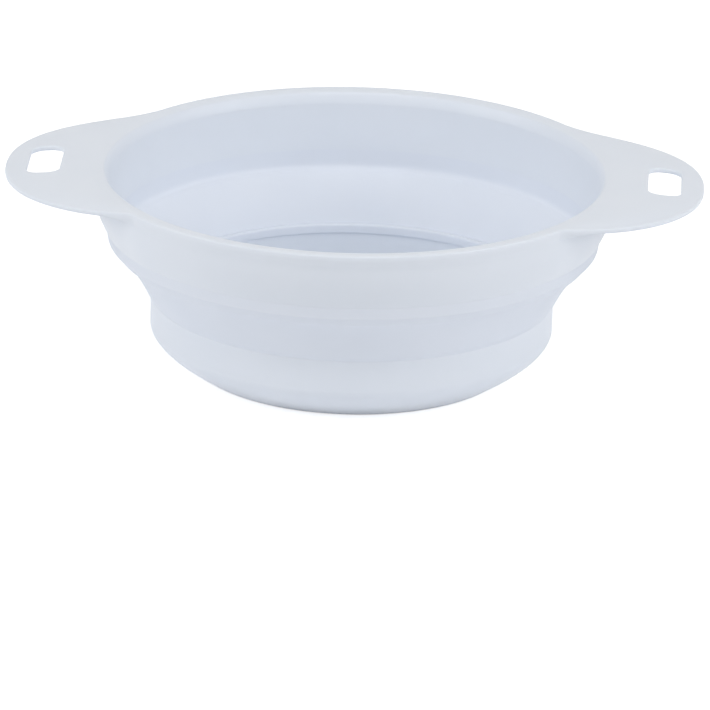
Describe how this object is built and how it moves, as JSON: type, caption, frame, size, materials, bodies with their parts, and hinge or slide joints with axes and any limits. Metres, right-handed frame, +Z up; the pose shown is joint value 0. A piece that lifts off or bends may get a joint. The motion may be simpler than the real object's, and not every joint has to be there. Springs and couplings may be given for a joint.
{
  "type": "collapsible colander",
  "caption": "Round collapsible colander with a broad handle on each side, hang holes, a soft wall that folds flat and a perforated strainer floor.",
  "frame": {"origin": "on the table, under the middle of the bowl", "axes": "+X from the middle to one handle, +Z up out of the bowl"},
  "size_m": [0.318, 0.242, 0.0922],
  "materials": {
    "polypropylene": "moulded, satin, cool white",
    "soft_tpr": "soft thermoplastic rubber, matt, cool white"
  },
  "bodies": {
    "base": {"bowl_wall": "polypropylene", "strainer_floor": "polypropylene", "lip_bead": "soft_tpr"},
    "web": {"fold_web": "soft_tpr"},
    "rim": {"rim_frame": "polypropylene", "upper_wall": "polypropylene", "hem_bead": "soft_tpr"}
  },
  "joints": [
    {"name": "collapse", "type": "slide", "parent": "base", "child": "rim", "axis": [0, 0, 1], "range_m": [-0.05, 0]},
    {"name": "web_fold", "type": "slide", "parent": "base", "child": "web", "axis": [0, 0, 1], "range_m": [-0.025, 0]}
  ],
  "couplings": [
    {"joint": "web_fold", "follows": "collapse", "ratio": 0.5}
  ]
}
